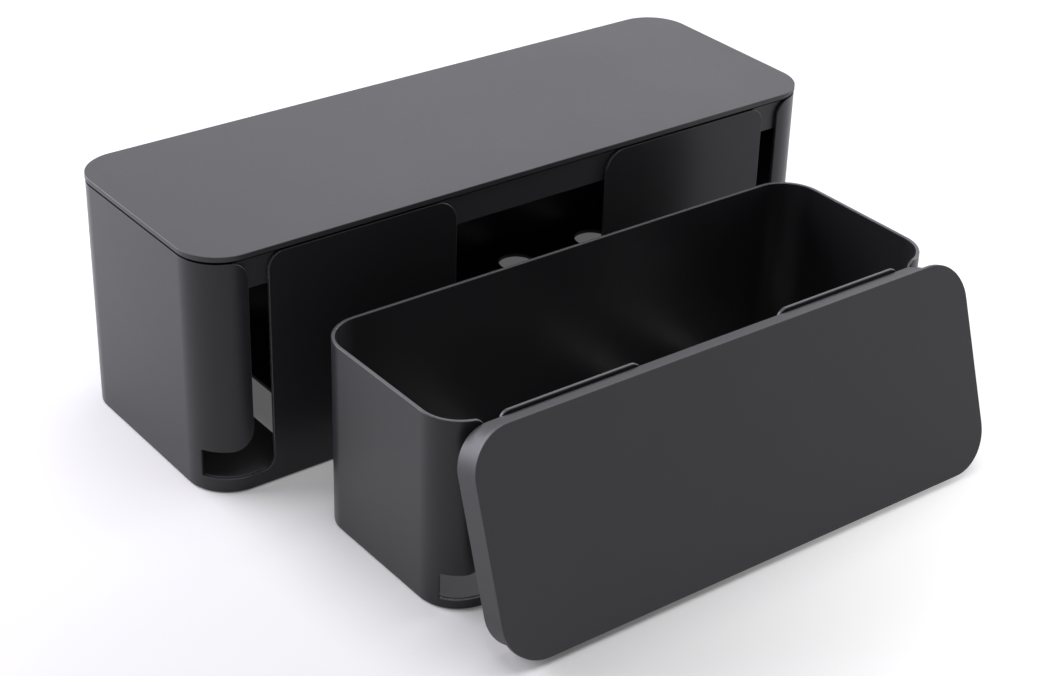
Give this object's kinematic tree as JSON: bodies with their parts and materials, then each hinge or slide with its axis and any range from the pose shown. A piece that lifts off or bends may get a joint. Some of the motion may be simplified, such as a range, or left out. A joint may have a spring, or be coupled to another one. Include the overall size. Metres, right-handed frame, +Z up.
{
  "type": "cable management box set",
  "caption": "Large and small lidded boxes that hide a power strip and its cables, with slots for cables in the front wall and a lift-off lid on each.",
  "frame": {"origin": "middle of the set's outline on the floor plane, under the gap between the two boxes", "axes": "+X along both boxes' length, towards the right seen from the front; +Y to the back, from the small box to the large one; +Z up"},
  "size_m": [0.4004, 0.3416, 0.1363],
  "materials": {
    "shell_plastic": "satin moulded black plastic with a very fine grain",
    "lid_plastic": "satin moulded black plastic with a very fine grain",
    "base_plastic": "plain moulded black plastic",
    "foot_rubber": "matte black rubber"
  },
  "bodies": {
    "large_box": {"large_shell": "shell_plastic", "large_base_plate": "base_plastic", "large_foot_front_left": "foot_rubber", "large_foot_front_right": "foot_rubber", "large_foot_rear_left": "foot_rubber", "large_foot_rear_right": "foot_rubber"},
    "large_lid": {"large_lid": "lid_plastic"},
    "small_box": {"small_shell": "shell_plastic", "small_base_plate": "base_plastic", "small_foot_front_left": "foot_rubber", "small_foot_front_right": "foot_rubber", "small_foot_rear_left": "foot_rubber", "small_foot_rear_right": "foot_rubber"},
    "small_lid": {"small_lid": "lid_plastic"}
  },
  "joints": [
    {"name": "large_lid_lift", "type": "slide", "parent": "large_box", "child": "large_lid", "axis": [0, 0, 1], "range_m": [0, 0.12]},
    {"name": "small_box_shift", "type": "slide", "parent": "large_box", "child": "small_box", "axis": [0, -1, 0], "range_m": [0, 0.1]},
    {"name": "small_lid_away", "type": "slide", "parent": "small_box", "child": "small_lid", "axis": [0, -1, 0], "range_m": [0, 0.06]}
  ]
}
